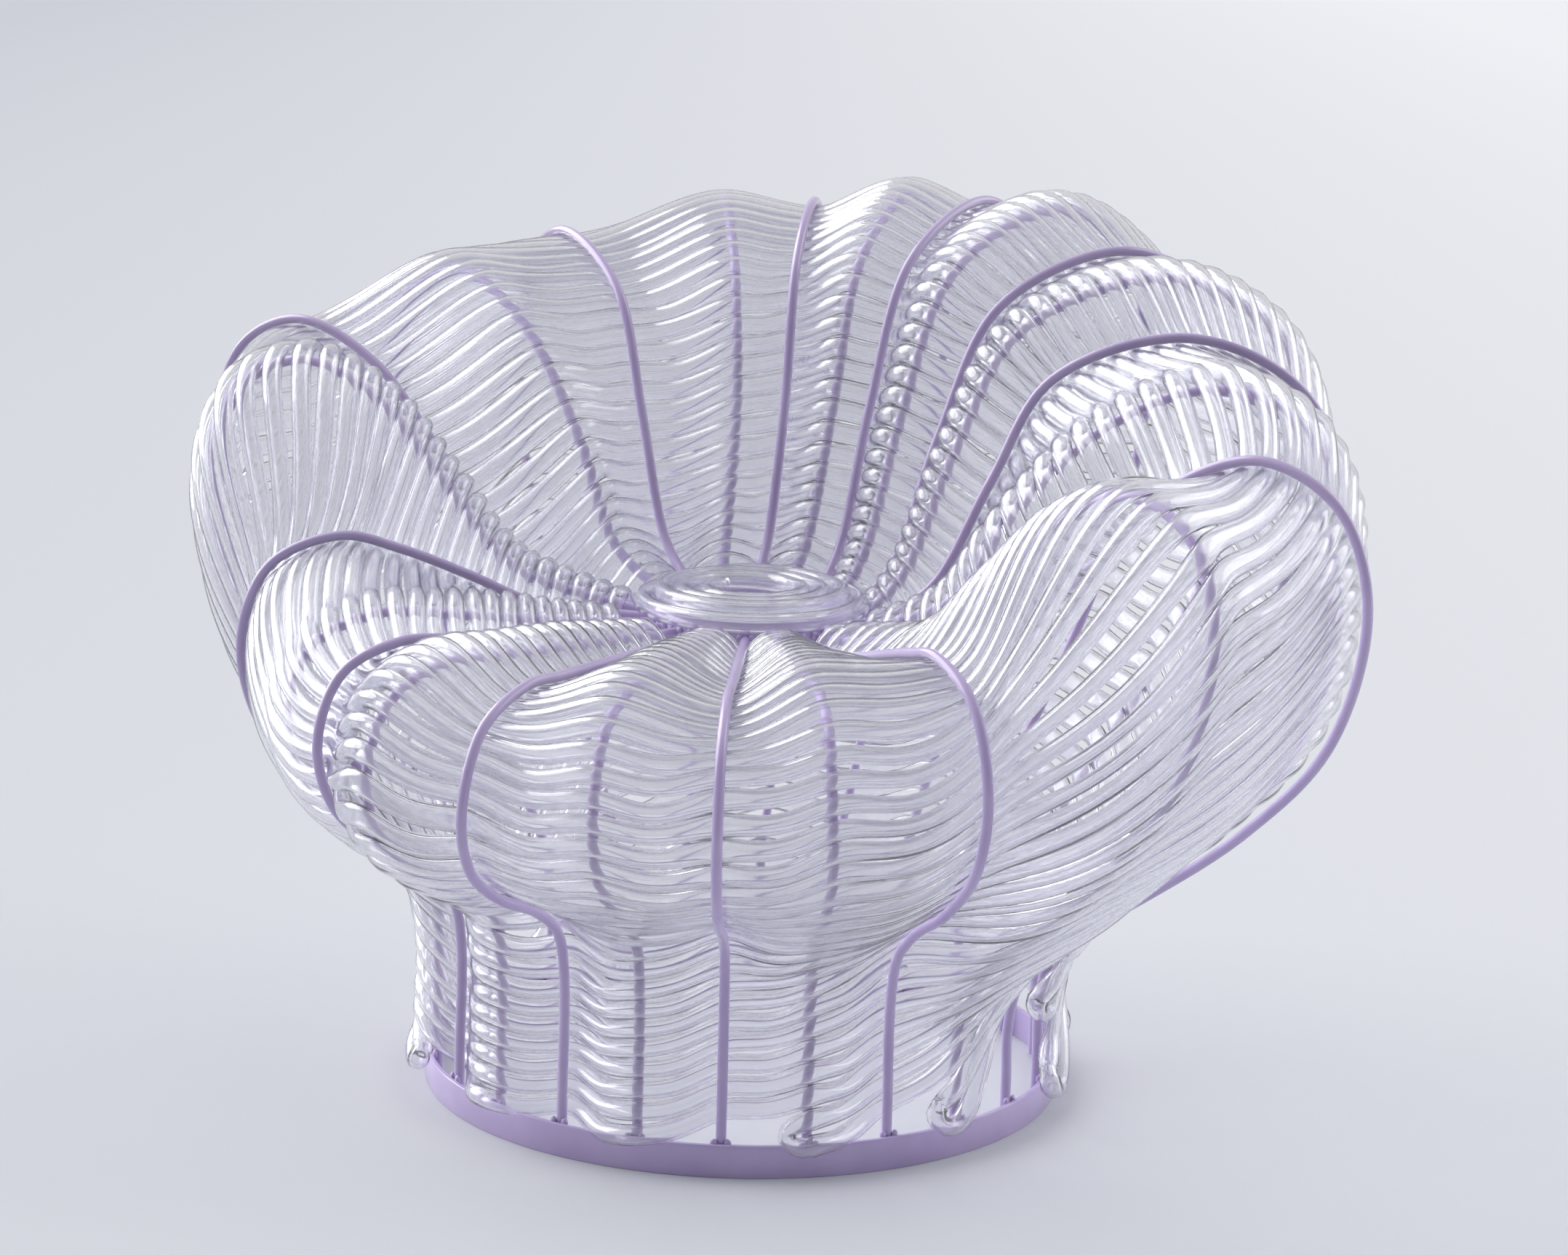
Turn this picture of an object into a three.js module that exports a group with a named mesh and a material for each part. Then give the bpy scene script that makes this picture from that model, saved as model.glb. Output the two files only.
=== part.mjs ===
// Woven armchair: round steel bars stand in a ring on the floor, swell out, roll over the rim and run in to a
// hub ring under the seat. One long clear hose is woven over and under the bars from the hub to the hem.
// Millimetres, +Z up. The front of the chair faces -Y. Angles run from the front towards +X.
import * as THREE from 'three';

// Driving dimensions of the bars and rings
const rodDiameter = 9.5;
const rodSides = 8;
const baseRingDiameter = 600;
const baseRingHeight = 30;
const baseRingThickness = 5;
const hubRingDiameter = 184;
const hubRingHeight = 22;
const hubRingThickness = 5;
const hubRingDrop = 5;
const ringSegments = 48;
const footHeight = 3;

// Driving dimensions of the seat shape, measured to the middle of the bars
const tallestRim = 800;
const seatHeight = 438;
const longestReach = 650;
const kneeHeightLow = 213;
const kneeHeightHigh = 145;
const kneeBend = 45;
const hemHeight = 50;
const weaveStartRadius = 100;

// Driving dimensions of the hose and the clearances
const hoseDiameter = 19;
const coilHoseWidth = 17.8;
const coilPitch = 18.4;
const coilOuterRadius = 98;
const coilTurns = 2.6;
const coilEndTurn = 0.3;
const coilEndDip = 12;
const coilStepsPerTurn = 24;
const coilSides = 6;
const touchGap = 0.3;
const rodSideGap = 1.25;
const grooveDepth = 5;

// Shares that shape each bar between its driving sizes
const dropShare = 1.1;
const kneeFallShare = 0.55;
const seatEdgeShare = 0.78;
const seatEdgeRiseShare = 0.15;
const seatRiseShare = 0.05;
const hollowRiseShare = 0.5;
const shoulderRiseShare = 0.85;
const cornerShareLow = 0.46;
const cornerShareFall = 0.2;
const bayThicknessShare = 0.35;
const circleCornerShare = Math.SQRT1_2;

// One row a bar, from the front round to the right arm, the back and the left arm.
// rise: rim height from the seat (0) to the tallest rim (1). rim, belly and hollow: how far out the rim top,
// the outside of the bar and the inner back lie, as shares of the longest reach. shoulder: how far the inner
// back has run towards the rim near its top. lean: sideways lean of the upper bar in degrees.
const ribShares = [
  { rise: 0.000, rim: 0.538, belly: 0.677, hollow: 0.362, shoulder: 0.55, lean: 0 },
  { rise: 0.000, rim: 0.515, belly: 0.635, hollow: 0.346, shoulder: 0.55, lean: 0 },
  { rise: 0.010, rim: 0.531, belly: 0.680, hollow: 0.354, shoulder: 0.55, lean: 0 },
  { rise: 0.025, rim: 0.523, belly: 0.638, hollow: 0.354, shoulder: 0.55, lean: -2 },
  { rise: 0.105, rim: 0.538, belly: 0.685, hollow: 0.385, shoulder: 0.55, lean: 0 },
  { rise: 0.515, rim: 0.735, belly: 0.874, hollow: 0.500, shoulder: 0.48, lean: 0 },
  { rise: 0.575, rim: 0.792, belly: 0.952, hollow: 0.554, shoulder: 0.46, lean: 0 },
  { rise: 0.680, rim: 0.662, belly: 0.838, hollow: 0.385, shoulder: 0.47, lean: 0 },
  { rise: 0.765, rim: 0.609, belly: 0.838, hollow: 0.335, shoulder: 0.30, lean: 0 },
  { rise: 0.875, rim: 0.592, belly: 0.831, hollow: 0.295, shoulder: 0.30, lean: 0 },
  { rise: 0.920, rim: 0.603, belly: 0.831, hollow: 0.300, shoulder: 0.30, lean: 0 },
  { rise: 0.995, rim: 0.592, belly: 0.815, hollow: 0.289, shoulder: 0.30, lean: 0 },
  { rise: 1.000, rim: 0.623, belly: 0.815, hollow: 0.309, shoulder: 0.30, lean: 0 },
  { rise: 0.990, rim: 0.615, belly: 0.815, hollow: 0.315, shoulder: 0.30, lean: -3.5 },
  { rise: 0.970, rim: 0.615, belly: 0.815, hollow: 0.323, shoulder: 0.30, lean: -4.5 },
  { rise: 0.930, rim: 0.631, belly: 0.815, hollow: 0.346, shoulder: 0.30, lean: -7 },
  { rise: 0.873, rim: 0.677, belly: 0.846, hollow: 0.380, shoulder: 0.30, lean: 0 },
  { rise: 0.768, rim: 0.685, belly: 0.854, hollow: 0.398, shoulder: 0.46, lean: 0 },
  { rise: 0.640, rim: 0.838, belly: 1.000, hollow: 0.562, shoulder: 0.46, lean: 0 },
  { rise: 0.590, rim: 0.700, belly: 0.838, hollow: 0.478, shoulder: 0.48, lean: 0 },
  { rise: 0.185, rim: 0.592, belly: 0.737, hollow: 0.405, shoulder: 0.55, lean: 0 },
  { rise: 0.038, rim: 0.531, belly: 0.654, hollow: 0.362, shoulder: 0.55, lean: 0 },
  { rise: 0.018, rim: 0.538, belly: 0.658, hollow: 0.362, shoulder: 0.55, lean: 0 },
  { rise: 0.012, rim: 0.554, belly: 0.677, hollow: 0.369, shoulder: 0.55, lean: 0 },
];
const ribNames = { 0: 'front', 6: 'right_arm', 12: 'back', 18: 'left_arm' };

// Bands of the weave, each a run of bar stations from the hub to the hem. The deep ones are cut in four at
// bars. The two that show most have grooves between the rows of hose on their outer face.
const bands = [
  { name: 'hose_weave_round_hub', from: 1, to: 2 },
  { name: 'hose_weave_seat', from: 2, to: 4 },
  { name: 'hose_weave_lower_bowl', from: 4, to: 6 },
  { name: 'hose_weave_upper_bowl', from: 6, to: 8, quarters: true },
  { name: 'hose_weave_inner_rim', from: 8, to: 10 },
  { name: 'hose_weave_outer_rim', from: 10, to: 12 },
  { name: 'hose_weave_outer_shoulder', from: 12, to: 14, grooves: 4 },
  { name: 'hose_weave_belly', from: 14, to: 16, grooves: 4 },
  { name: 'hose_weave_under_belly', from: 16, to: 18, quarters: true },
  { name: 'hose_weave_waist', from: 18, to: 20, quarters: true },
  { name: 'hose_weave_skirt', from: 20, to: 22 },
];
const quarters = [
  { name: 'front', from: 21, to: 27 },
  { name: 'right', from: 3, to: 9 },
  { name: 'back', from: 9, to: 15 },
  { name: 'left', from: 15, to: 21 },
];
const columnsPerBar = 2;
const stepsPerSpan = [1, 1, 2, 2, 2, 2, 2, 2, 2, 2, 1, 1, 1, 1, 1];
const leanSharesPerPoint = [0, 0, 0, 0.5, 1, 1, 1, 1, 1, 0.7, 0.4, 0.2, 0, 0, 0, 0];

// Sizes that follow from the driving dimensions
const ribCount = ribShares.length;
const bayAngle = (2 * Math.PI) / ribCount;
const rodRadius = rodDiameter / 2;
const facetShare = Math.cos(Math.PI / ringSegments);
const hubEndRadius = (hubRingDiameter / 2) * facetShare + touchGap;
const hubRingBottom = seatHeight - hubRingDrop;
const footRadius = (baseRingDiameter / 2 - baseRingThickness) * facetShare - touchGap - rodRadius;

const barMaterial = new THREE.MeshStandardMaterial({ color: 0xa998bd, roughness: 0.42, metalness: 0.15 });
const hoseMaterial = new THREE.MeshStandardMaterial({ color: 0xdedfea, roughness: 0.12, metalness: 0.0 });

// A curve whose steps fall on chosen shares of each span, so that bends get more steps than straights
class StationCurve extends THREE.CatmullRomCurve3 {
  constructor(points, steps) {
    super(points, false, 'centripetal');
    this.shares = [0];
    steps.forEach((count, span) => {
      for (let step = 1; step <= count; step += 1) {
        this.shares.push((span + step / count) / steps.length);
      }
    });
  }

  get lastStation() {
    return this.shares.length - 1;
  }

  getPointAt(share) {
    return this.getPoint(this.shares[Math.round(share * this.lastStation)]);
  }

  getTangentAt(share) {
    return this.getTangent(this.shares[Math.round(share * this.lastStation)]);
  }
}

function placeAt(angle, radius, height) {
  return new THREE.Vector3(radius * Math.sin(angle), -radius * Math.cos(angle), height);
}

function mixPoints(a, b, share) {
  return [a[0] + (b[0] - a[0]) * share, a[1] + (b[1] - a[1]) * share];
}

// The middle of a rounded corner that starts at a, turns at b and ends at c
function cornerMiddle(a, b, c) {
  return mixPoints(mixPoints(a, c, 0.5), b, 0.5);
}

function towards(from, to, distance) {
  return mixPoints(from, to, distance / Math.hypot(to[0] - from[0], to[1] - from[1]));
}

// Radius and height of one bar's points, from the hub ring over the rim to the floor
function ribProfile(shares) {
  const rise = (tallestRim - seatHeight) * shares.rise;
  const rimHeight = seatHeight + rise;
  const rim = longestReach * shares.rim;
  const belly = longestReach * shares.belly;
  const hollow = longestReach * shares.hollow;
  const seatEdge = hollow * seatEdgeShare;
  const shoulder = hollow + (rim - hollow) * shares.shoulder;
  const drop = (belly - rim) * dropShare;
  const roundOver = (belly - rim) * circleCornerShare;
  const bellyPoint = [belly, rimHeight - drop];
  const kneeFall = (kneeHeightLow - kneeHeightHigh) * Math.min(1, shares.rise / kneeFallShare);
  const kneeHeight = kneeHeightLow - kneeFall;
  const knee = [footRadius, kneeHeight];
  const cornerShare = cornerShareLow - cornerShareFall * shares.rise;
  const cornerDrop = (bellyPoint[1] - kneeHeight) * cornerShare;
  const corner = [belly, bellyPoint[1] - cornerDrop];
  const sweep = towards(corner, knee, cornerDrop);
  const kneeTop = towards(knee, corner, kneeBend);
  const kneeBottom = [footRadius, kneeHeight - kneeBend];
  return [
    [hubEndRadius, seatHeight],
    [weaveStartRadius, seatHeight],
    [(weaveStartRadius + seatEdge) / 2, seatHeight + rise * seatRiseShare],
    [seatEdge, seatHeight + rise * seatEdgeRiseShare],
    [hollow, seatHeight + rise * hollowRiseShare],
    [shoulder, seatHeight + rise * shoulderRiseShare],
    [rim, rimHeight],
    [rim + roundOver, rimHeight - drop * (1 - circleCornerShare)],
    bellyPoint,
    cornerMiddle(bellyPoint, corner, sweep),
    sweep,
    kneeTop,
    cornerMiddle(kneeTop, knee, kneeBottom),
    kneeBottom,
    [footRadius, hemHeight],
    [footRadius, footHeight],
  ];
}

function ribCurve(index) {
  const shares = ribShares[index];
  const lean = THREE.MathUtils.degToRad(shares.lean);
  const points = ribProfile(shares).map(([radius, height], point) => {
    return placeAt(index * bayAngle + lean * leanSharesPerPoint[point], radius, height);
  });
  return new StationCurve(points, stepsPerSpan);
}

function polygon(sides, halfWidth, halfHeight, turn) {
  const corners = [];
  for (let side = 0; side < sides; side += 1) {
    const angle = ((side + turn) * 2 * Math.PI) / sides;
    corners.push(new THREE.Vector2(halfWidth * Math.cos(angle), halfHeight * Math.sin(angle)));
  }
  return new THREE.Shape(corners);
}

function makeRib(index, curve) {
  const section = polygon(rodSides, rodRadius, rodRadius, 0.5);
  const geometry = new THREE.ExtrudeGeometry(section, { extrudePath: curve, steps: curve.lastStation });
  const mesh = new THREE.Mesh(geometry, barMaterial);
  const place = ribNames[index] ? `_${ribNames[index]}` : '';
  mesh.name = `rib_${String(index + 1).padStart(2, '0')}${place}`;
  return mesh;
}

// A flat strip bent into a ring, with a flat of the ring behind each bar
function makeRing(name, diameter, thickness, bottom, height) {
  const outer = diameter / 2;
  const inner = outer - thickness;
  const top = bottom + height;
  const profile = [[inner, bottom], [outer, bottom], [outer, top], [inner, top], [inner, bottom]];
  const points = profile.map(([radius, level]) => new THREE.Vector2(radius, level));
  const geometry = new THREE.LatheGeometry(points, ringSegments, -Math.PI / ringSegments, 2 * Math.PI);
  geometry.rotateX(Math.PI / 2);
  const mesh = new THREE.Mesh(geometry, barMaterial);
  mesh.name = name;
  return mesh;
}

// The hose lies on the inner side of every other bar and on the outer side of the bars between
function skinOffsets(index, radius) {
  const thickness = Math.min(hoseDiameter, radius * bayAngle * bayThicknessShare);
  const near = rodRadius + touchGap;
  const insideBar = index % 2 === 0;
  return insideBar ? { outer: -near, inner: -near - thickness } : { outer: near + thickness, inner: near };
}

// Points of the woven skin's outer or inner face at one station, on the left and right side of one bar
function skinPoints(curve, index, station, face, depth) {
  const share = station / curve.lastStation;
  const point = curve.getPointAt(share);
  const angle = Math.atan2(point.x, -point.y);
  const sideways = new THREE.Vector3(Math.cos(angle), Math.sin(angle), 0);
  const normal = new THREE.Vector3().crossVectors(curve.getTangentAt(share), sideways).normalize();
  const offset = skinOffsets(index, Math.hypot(point.x, point.y))[face] - depth;
  return [-1, 1].map((side) => {
    const beside = point.clone().addScaledVector(sideways, side * (rodRadius + rodSideGap));
    return beside.addScaledVector(normal, offset);
  });
}

function pullIn(edge, next) {
  edge.addScaledVector(next.clone().sub(edge).normalize(), touchGap / 2);
}

// The same part of the way to the next station, straight on as the bar's own facets run
function skinPointsBetween(curve, index, station, face, depth) {
  const whole = Math.min(Math.floor(station), curve.lastStation - 1);
  const here = skinPoints(curve, index, whole, face, depth);
  const next = skinPoints(curve, index, whole + 1, face, depth);
  return here.map((point, side) => point.lerp(next[side], station - whole));
}

// Both columns of one face beside one bar, in equal steps over the band, every second step deep in a groove
function faceColumns(curve, index, band, face, steps, depth) {
  const left = [];
  const right = [];
  for (let step = 0; step <= steps; step += 1) {
    const station = band.from + ((band.to - band.from) * step) / steps;
    const pair = skinPointsBetween(curve, index, station, face, step % 2 === 1 ? depth : 0);
    left.push(pair[0]);
    right.push(pair[1]);
  }
  for (const column of [left, right]) {
    pullIn(column[0], column[1]);
    pullIn(column[steps], column[steps - 1]);
  }
  return [left, right];
}

function bandColumns(curves, band) {
  const stations = band.to - band.from;
  const outerSteps = band.grooves ? band.grooves * 2 : stations;
  const depth = band.grooves ? grooveDepth : 0;
  return curves.flatMap((curve, index) => {
    const outer = faceColumns(curve, index, band, 'outer', outerSteps, depth);
    const inner = faceColumns(curve, index, band, 'inner', stations, 0);
    return outer.map((column, side) => ({ outer: column, inner: inner[side] }));
  });
}

// The columns of one quarter of a band, with its two ends drawn in to clear the next quarters
function quarterColumns(columns, quarter) {
  const picked = [];
  for (let place = quarter.from * columnsPerBar; place <= quarter.to * columnsPerBar; place += 1) {
    const { outer, inner } = columns[place % columns.length];
    picked.push({ outer: outer.map((point) => point.clone()), inner: inner.map((point) => point.clone()) });
  }
  const last = picked.length - 1;
  for (const face of ['outer', 'inner']) {
    picked[0][face].forEach((edge, row) => pullIn(edge, picked[1][face][row]));
    picked[last][face].forEach((edge, row) => pullIn(edge, picked[last - 1][face][row]));
  }
  return picked;
}

// A closed ring of columns, or an open run of them with a cap at each end
function makeBand(name, columns, closed) {
  const outerLast = columns[0].outer.length - 1;
  const innerLast = columns[0].inner.length - 1;
  const positions = [];
  const face = (...points) => {
    for (const point of [points[0], points[1], points[2], points[0], points[2], points[3]]) {
      positions.push(point.x, point.y, point.z);
    }
  };
  const strips = closed ? columns.length : columns.length - 1;
  for (let place = 0; place < strips; place += 1) {
    const { outer, inner } = columns[place];
    const next = columns[(place + 1) % columns.length];
    for (let row = 0; row < outerLast; row += 1) {
      face(outer[row], outer[row + 1], next.outer[row + 1], next.outer[row]);
    }
    for (let row = 0; row < innerLast; row += 1) {
      face(inner[row], next.inner[row], next.inner[row + 1], inner[row + 1]);
    }
    face(outer[0], next.outer[0], next.inner[0], inner[0]);
    face(outer[outerLast], inner[innerLast], next.inner[innerLast], next.outer[outerLast]);
  }
  const first = columns[0];
  const end = columns[strips];
  for (let row = 0; row < innerLast && !closed; row += 1) {
    face(first.outer[row], first.inner[row], first.inner[row + 1], first.outer[row + 1]);
    face(end.outer[row], end.outer[row + 1], end.inner[row + 1], end.inner[row]);
  }
  const geometry = new THREE.BufferGeometry();
  geometry.setAttribute('position', new THREE.Float32BufferAttribute(positions, 3));
  geometry.computeVertexNormals();
  const mesh = new THREE.Mesh(geometry, hoseMaterial);
  mesh.name = name;
  return mesh;
}

function makeBandParts(curves, band) {
  const columns = bandColumns(curves, band);
  if (!band.quarters) {
    return [makeBand(band.name, columns, true)];
  }
  return quarters.map((quarter) => {
    return makeBand(`${band.name}_${quarter.name}`, quarterColumns(columns, quarter), false);
  });
}

// Middle line of the hose coil on the hub ring, one spiral with a straight run at each end
function coilPoints() {
  const outside = coilOuterRadius - coilHoseWidth / 2;
  const height = hubRingBottom + hubRingHeight + touchGap + hoseDiameter / 2;
  const steps = Math.round(coilTurns * coilStepsPerTurn);
  const points = [];
  for (let step = 0; step <= steps; step += 1) {
    const turns = step / coilStepsPerTurn;
    const dip = coilEndDip * Math.max(0, 1 - turns / coilEndTurn) ** 2;
    const radius = outside - coilPitch * (coilTurns - turns) - dip;
    points.push(placeAt(turns * 2 * Math.PI, radius, height));
  }
  const first = points[0].clone().sub(points[1]).setLength(hoseDiameter).add(points[0]);
  const end = points[steps].clone().sub(points[steps - 1]).setLength(hoseDiameter).add(points[steps]);
  return [first, ...points, end];
}

// Least clear distance between the turns of the coil, measured between its points
function coilGap(points) {
  let least = Infinity;
  const apart = Math.round(coilStepsPerTurn / 2);
  for (let a = 0; a < points.length; a += 1) {
    for (let b = a + apart; b < points.length; b += 1) {
      least = Math.min(least, points[a].distanceTo(points[b]));
    }
  }
  return least - coilHoseWidth;
}

function makeCoil() {
  const points = coilPoints();
  const curve = new StationCurve(points, new Array(points.length - 1).fill(1));
  const flatShare = Math.cos(Math.PI / coilSides);
  const section = polygon(coilSides, hoseDiameter / 2 / flatShare, coilHoseWidth / 2, 0.5);
  const geometry = new THREE.ExtrudeGeometry(section, { extrudePath: curve, steps: curve.lastStation });
  const mesh = new THREE.Mesh(geometry, hoseMaterial);
  mesh.name = 'seat_coil';
  console.log(`Least gap between the turns of the seat coil: ${coilGap(points).toFixed(2)} mm`);
  return mesh;
}

function makeChair() {
  const frame = new THREE.Group();
  frame.add(makeRing('base_ring', baseRingDiameter, baseRingThickness, 0, baseRingHeight));
  frame.add(makeRing('hub_ring', hubRingDiameter, hubRingThickness, hubRingBottom, hubRingHeight));
  const curves = ribShares.map((shares, index) => ribCurve(index));
  curves.forEach((curve, index) => frame.add(makeRib(index, curve)));
  bands.forEach((band) => frame.add(...makeBandParts(curves, band)));
  frame.add(makeCoil());
  const box = new THREE.Box3().setFromObject(frame);
  const middle = box.getCenter(new THREE.Vector3());
  frame.position.set(-middle.x, -middle.y, 0);
  const chair = new THREE.Group();
  chair.add(frame);
  return chair;
}

export default makeChair();
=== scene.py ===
# %% [markdown]
# # A woven chair, built in Blender
# The real chair is a cage of round steel bars that stand in a ring on the floor, swell out, roll over the rim
# and run in to a small ring under the seat. Clear hose is woven over and under the bars from the seat to the
# floor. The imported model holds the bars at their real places, so it is loaded first and nothing on it moves.

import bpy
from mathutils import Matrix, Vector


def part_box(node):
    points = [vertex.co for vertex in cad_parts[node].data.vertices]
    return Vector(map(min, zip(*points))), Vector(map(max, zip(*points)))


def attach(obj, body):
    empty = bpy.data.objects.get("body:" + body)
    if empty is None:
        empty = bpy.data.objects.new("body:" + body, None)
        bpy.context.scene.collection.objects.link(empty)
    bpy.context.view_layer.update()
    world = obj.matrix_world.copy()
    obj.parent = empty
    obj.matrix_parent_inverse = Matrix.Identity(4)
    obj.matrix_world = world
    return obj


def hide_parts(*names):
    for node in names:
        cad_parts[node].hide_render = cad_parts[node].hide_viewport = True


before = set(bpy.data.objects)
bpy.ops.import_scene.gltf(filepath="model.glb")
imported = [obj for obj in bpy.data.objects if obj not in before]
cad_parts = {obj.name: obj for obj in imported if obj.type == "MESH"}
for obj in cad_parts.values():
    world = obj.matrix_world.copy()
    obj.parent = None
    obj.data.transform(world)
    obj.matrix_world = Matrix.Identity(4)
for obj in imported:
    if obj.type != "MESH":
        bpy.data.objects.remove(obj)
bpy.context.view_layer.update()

# %% [markdown]
# Python's own tools come next. Numpy does the arithmetic on whole rows of points at once, and bmesh makes the
# meshes. Sizes are written in real millimetres, and one factor turns them to Blender's metres.

# %% Tools and units
import math

import bmesh
import bpy
import numpy as np
from mathutils import Matrix, Vector

MM = 0.001
ring_low, ring_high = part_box("base_ring")
chair_axis = np.array([(ring_low.x + ring_high.x) / 2, (ring_low.y + ring_high.y) / 2, 0.0]) / MM
rng = np.random.default_rng(24)
print("Middle of the floor ring:", chair_axis.round(2), "mm")

# %% [markdown]
# The camera stands where the photographer stood: a little above the seat, in front of the chair and round
# towards the sitter's left arm. A long lens from 3.6 m keeps the chair's lines nearly parallel. The photo was
# taken with a slight roll, so the camera is turned by the same small angle.

# %% Camera
camera_azimuth = math.radians(32.6)
camera_elevation = math.radians(12.05)
camera_distance = 3600
camera_roll = 0.026
aim_right, aim_up = 30.6, 432
focal_length = 88.76


def make_camera():
    towards = np.array([math.sin(camera_azimuth), -math.cos(camera_azimuth), 0.0])
    rightwards = np.array([math.cos(camera_azimuth), math.sin(camera_azimuth), 0.0])
    aim = chair_axis + rightwards * aim_right + np.array([0, 0, aim_up])
    level = towards * math.cos(camera_elevation) + np.array([0, 0, math.sin(camera_elevation)])
    place = Vector(aim + level * camera_distance) * MM
    data = bpy.data.cameras.new("photo_camera")
    data.lens = focal_length
    data.sensor_width = 36
    camera = bpy.data.objects.new("photo_camera", data)
    bpy.context.collection.objects.link(camera)
    look = (Vector(aim) * MM - place).to_track_quat("-Z", "Y").to_matrix()
    turn = look @ Matrix.Rotation(camera_roll, 3, "Z")
    camera.matrix_world = Matrix.Translation(place) @ turn.to_4x4()
    bpy.context.scene.camera = camera
    return camera


camera = make_camera()
print("Camera stands at", [round(value, 3) for value in camera.matrix_world.translation], "m")

# %% [markdown]
# Each bar follows the same kind of line: level from the hub ring, up the inner back, over the rim, down the
# outside to a knee and straight down to the floor ring. Six shares a bar say how it differs from its
# neighbours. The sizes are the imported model's own, so the new smooth bars lie exactly where its bars lie.

# %% Sizes of the frame
rod_radius = 4.75
ring_radius, ring_thickness, ring_height = 300, 5, 30
hub_radius, hub_height, hub_drop = 92, 22, 5
tallest_rim, seat_height, longest_reach = 800, 438, 650
knee_low, knee_high, knee_bend = 213, 145, 45
hem_height, weave_start, foot_height = 50, 100, 3
touch_gap = 0.3
ring_facets = 48
ring_facet_share = math.cos(math.pi / ring_facets)
hub_end = hub_radius * ring_facet_share + touch_gap
foot_radius = (ring_radius - ring_thickness) * ring_facet_share - touch_gap - rod_radius

# Shares of each bar from the front round to the right arm, the back and the left arm:
# rise of the rim, reach of the rim, the belly and the inner back, shoulder, and sideways lean in degrees
bar_shares = [
    (0.000, 0.538, 0.677, 0.362, 0.55, 0), (0.000, 0.515, 0.635, 0.346, 0.55, 0),
    (0.010, 0.531, 0.680, 0.354, 0.55, 0), (0.025, 0.523, 0.638, 0.354, 0.55, -2),
    (0.105, 0.538, 0.685, 0.385, 0.55, 0), (0.515, 0.735, 0.874, 0.500, 0.48, 0),
    (0.575, 0.792, 0.952, 0.554, 0.46, 0), (0.680, 0.662, 0.838, 0.385, 0.47, 0),
    (0.765, 0.609, 0.838, 0.335, 0.30, 0), (0.875, 0.592, 0.831, 0.295, 0.30, 0),
    (0.920, 0.603, 0.831, 0.300, 0.30, 0), (0.995, 0.592, 0.815, 0.289, 0.30, 0),
    (1.000, 0.623, 0.815, 0.309, 0.30, 0), (0.990, 0.615, 0.815, 0.315, 0.30, -3.5),
    (0.970, 0.615, 0.815, 0.323, 0.30, -4.5), (0.930, 0.631, 0.815, 0.346, 0.30, -7),
    (0.873, 0.677, 0.846, 0.380, 0.30, 0), (0.768, 0.685, 0.854, 0.398, 0.46, 0),
    (0.640, 0.838, 1.000, 0.562, 0.46, 0), (0.590, 0.700, 0.838, 0.478, 0.48, 0),
    (0.185, 0.592, 0.737, 0.405, 0.55, 0), (0.038, 0.531, 0.654, 0.362, 0.55, 0),
    (0.018, 0.538, 0.658, 0.362, 0.55, 0), (0.012, 0.554, 0.677, 0.369, 0.55, 0),
]
lean_shares = [0, 0, 0, 0.5, 1, 1, 1, 1, 1, 0.7, 0.4, 0.2, 0, 0, 0, 0]
bar_count = len(bar_shares)
bay_angle = 2 * math.pi / bar_count
print(bar_count, "bars, one every", round(math.degrees(bay_angle), 1), "degrees")

# %% [markdown]
# A bar's line is drawn first in its own upright plane, as radius and height. A corner is rounded by one point
# halfway between its chord and its tip.

# %% One bar's line in its own plane
seat_edge_share, drop_share, quarter_turn = 0.78, 1.1, math.sqrt(0.5)
seat_rise, edge_rise, hollow_rise, shoulder_rise = 0.05, 0.15, 0.5, 0.85
full_knee_rise = 0.55
fall_share, fall_less = 0.46, 0.2


def mix(a, b, share):
    return a + (b - a) * share


def step_towards(start, end, distance):
    return mix(start, end, distance / np.linalg.norm(end - start))


def round_corner(start, tip, end):
    return mix(mix(start, end, 0.5), tip, 0.5)


def bar_profile(shares):
    rise_share, rim_share, belly_share, hollow_share, shoulder_share, _ = shares
    rise = (tallest_rim - seat_height) * rise_share
    rim, belly, hollow = (longest_reach * share for share in (rim_share, belly_share, hollow_share))
    rim_height = seat_height + rise
    seat_edge = hollow * seat_edge_share
    drop = (belly - rim) * drop_share
    round_over = (belly - rim) * quarter_turn
    belly_point = np.array([belly, rim_height - drop])
    knee_share = min(1, rise_share / full_knee_rise)
    knee = np.array([foot_radius, knee_low - (knee_low - knee_high) * knee_share])
    fall = (belly_point[1] - knee[1]) * (fall_share - fall_less * rise_share)
    corner = belly_point - [0, fall]
    sweep = step_towards(corner, knee, fall)
    knee_top = step_towards(knee, corner, knee_bend)
    knee_bottom = knee - [0, knee_bend]
    return [
        (hub_end, seat_height), (weave_start, seat_height),
        ((weave_start + seat_edge) / 2, seat_height + rise * seat_rise),
        (seat_edge, seat_height + rise * edge_rise), (hollow, seat_height + rise * hollow_rise),
        (mix(hollow, rim, shoulder_share), seat_height + rise * shoulder_rise), (rim, rim_height),
        (rim + round_over, rim_height - drop * (1 - quarter_turn)), belly_point,
        round_corner(belly_point, corner, sweep), sweep, knee_top, round_corner(knee_top, knee, knee_bottom),
        knee_bottom, (foot_radius, hem_height), (foot_radius, foot_height),
    ]


# %% [markdown]
# The points are then joined by a centripetal Catmull-Rom curve, which passes through every point without
# overshooting at the bends. Each bar keeps its length so that the weave can later be measured along it. Below
# the floor the line runs straight on, which only helps to lay out rows that end above the floor.

# %% Bars as measured lines in space
steps_per_span = 12
tail_length = 900
look_ahead = 3


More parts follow.
